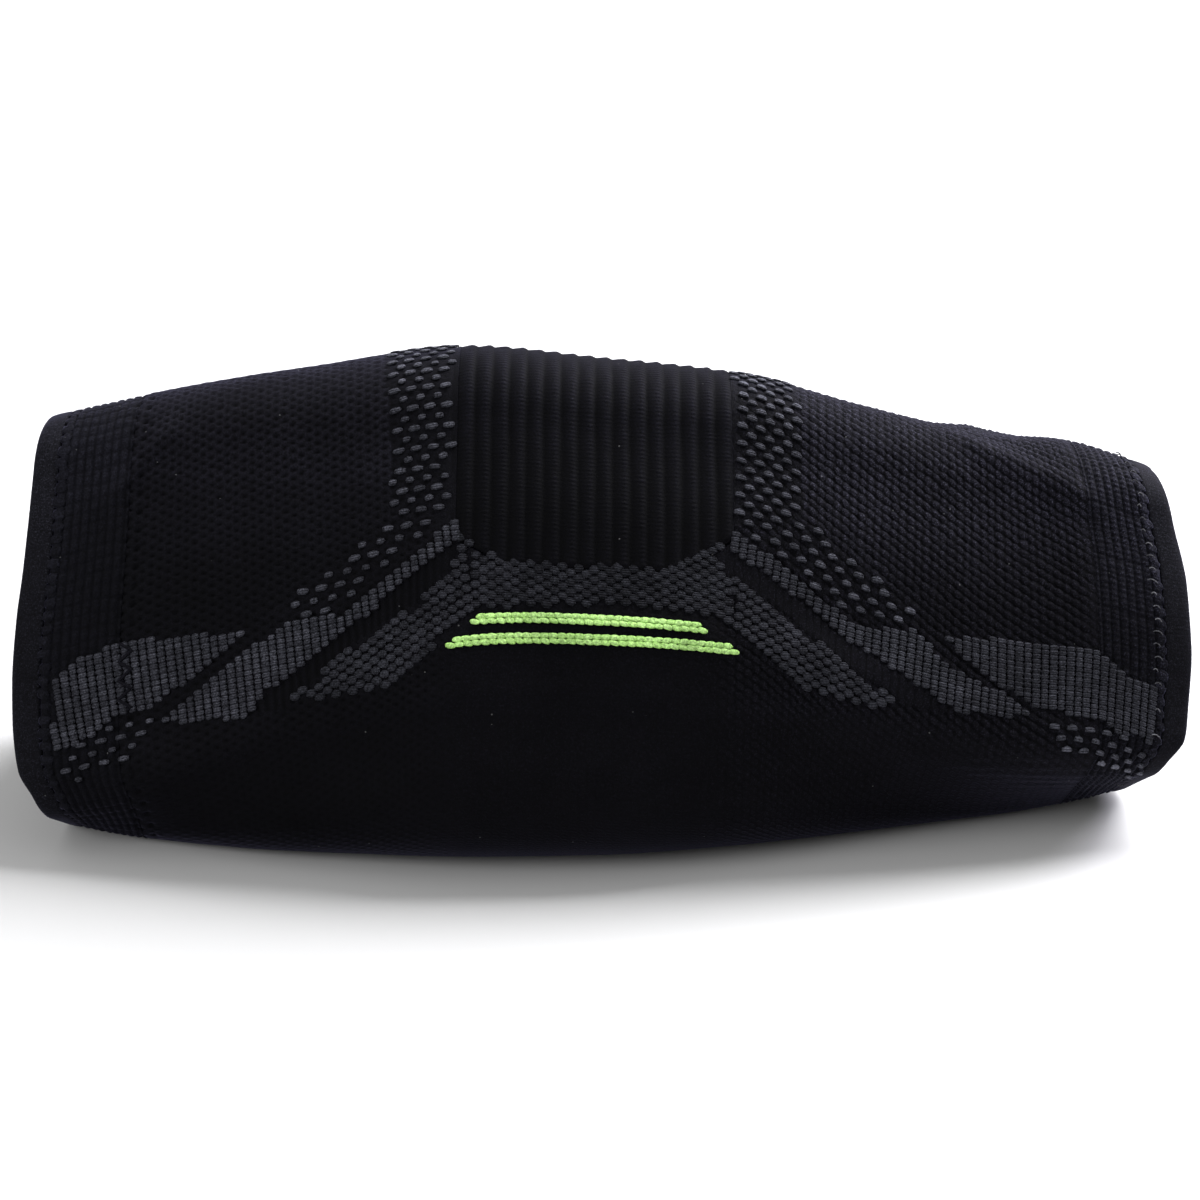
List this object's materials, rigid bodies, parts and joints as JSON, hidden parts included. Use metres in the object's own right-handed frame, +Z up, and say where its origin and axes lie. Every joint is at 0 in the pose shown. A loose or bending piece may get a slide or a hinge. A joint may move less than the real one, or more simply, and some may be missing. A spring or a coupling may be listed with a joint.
{
  "type": "knee compression sleeve",
  "caption": "Knitted tube sleeve that slips over the leg to support the knee, with a ribbed kneecap panel, ribbed cuffs and lime side stripes.",
  "frame": {"origin": "on the ground under the middle of the sleeve's box", "axes": "+X along the leg from the thigh opening to the calf opening, +Z up through the kneecap ridge, -Y is the side that faces the viewer"},
  "size_m": [0.259, 0.114, 0.1065],
  "materials": {
    "mesh_knit": "dark blue-black mesh knit with grey yarn bands, soft sheen",
    "rib_knit": "dark blue-black rib knit",
    "cuff_knit": "dark grid-ribbed knit",
    "hem_jersey": "dark smooth fine jersey",
    "lime_yarn": "lime chain-stitched yarn"
  },
  "bodies": {
    "root": {"thigh_hem": "hem_jersey", "thigh_cuff": "cuff_knit", "thigh_knit": "mesh_knit", "knee_knit": "mesh_knit", "kneecap_rib_panel": "rib_knit", "calf_knit": "mesh_knit", "calf_cuff": "cuff_knit", "calf_hem": "hem_jersey", "stripe_upper_near": "lime_yarn", "stripe_upper_far": "lime_yarn", "stripe_lower_near": "lime_yarn", "stripe_lower_far": "lime_yarn"}
  },
  "joints": []
}
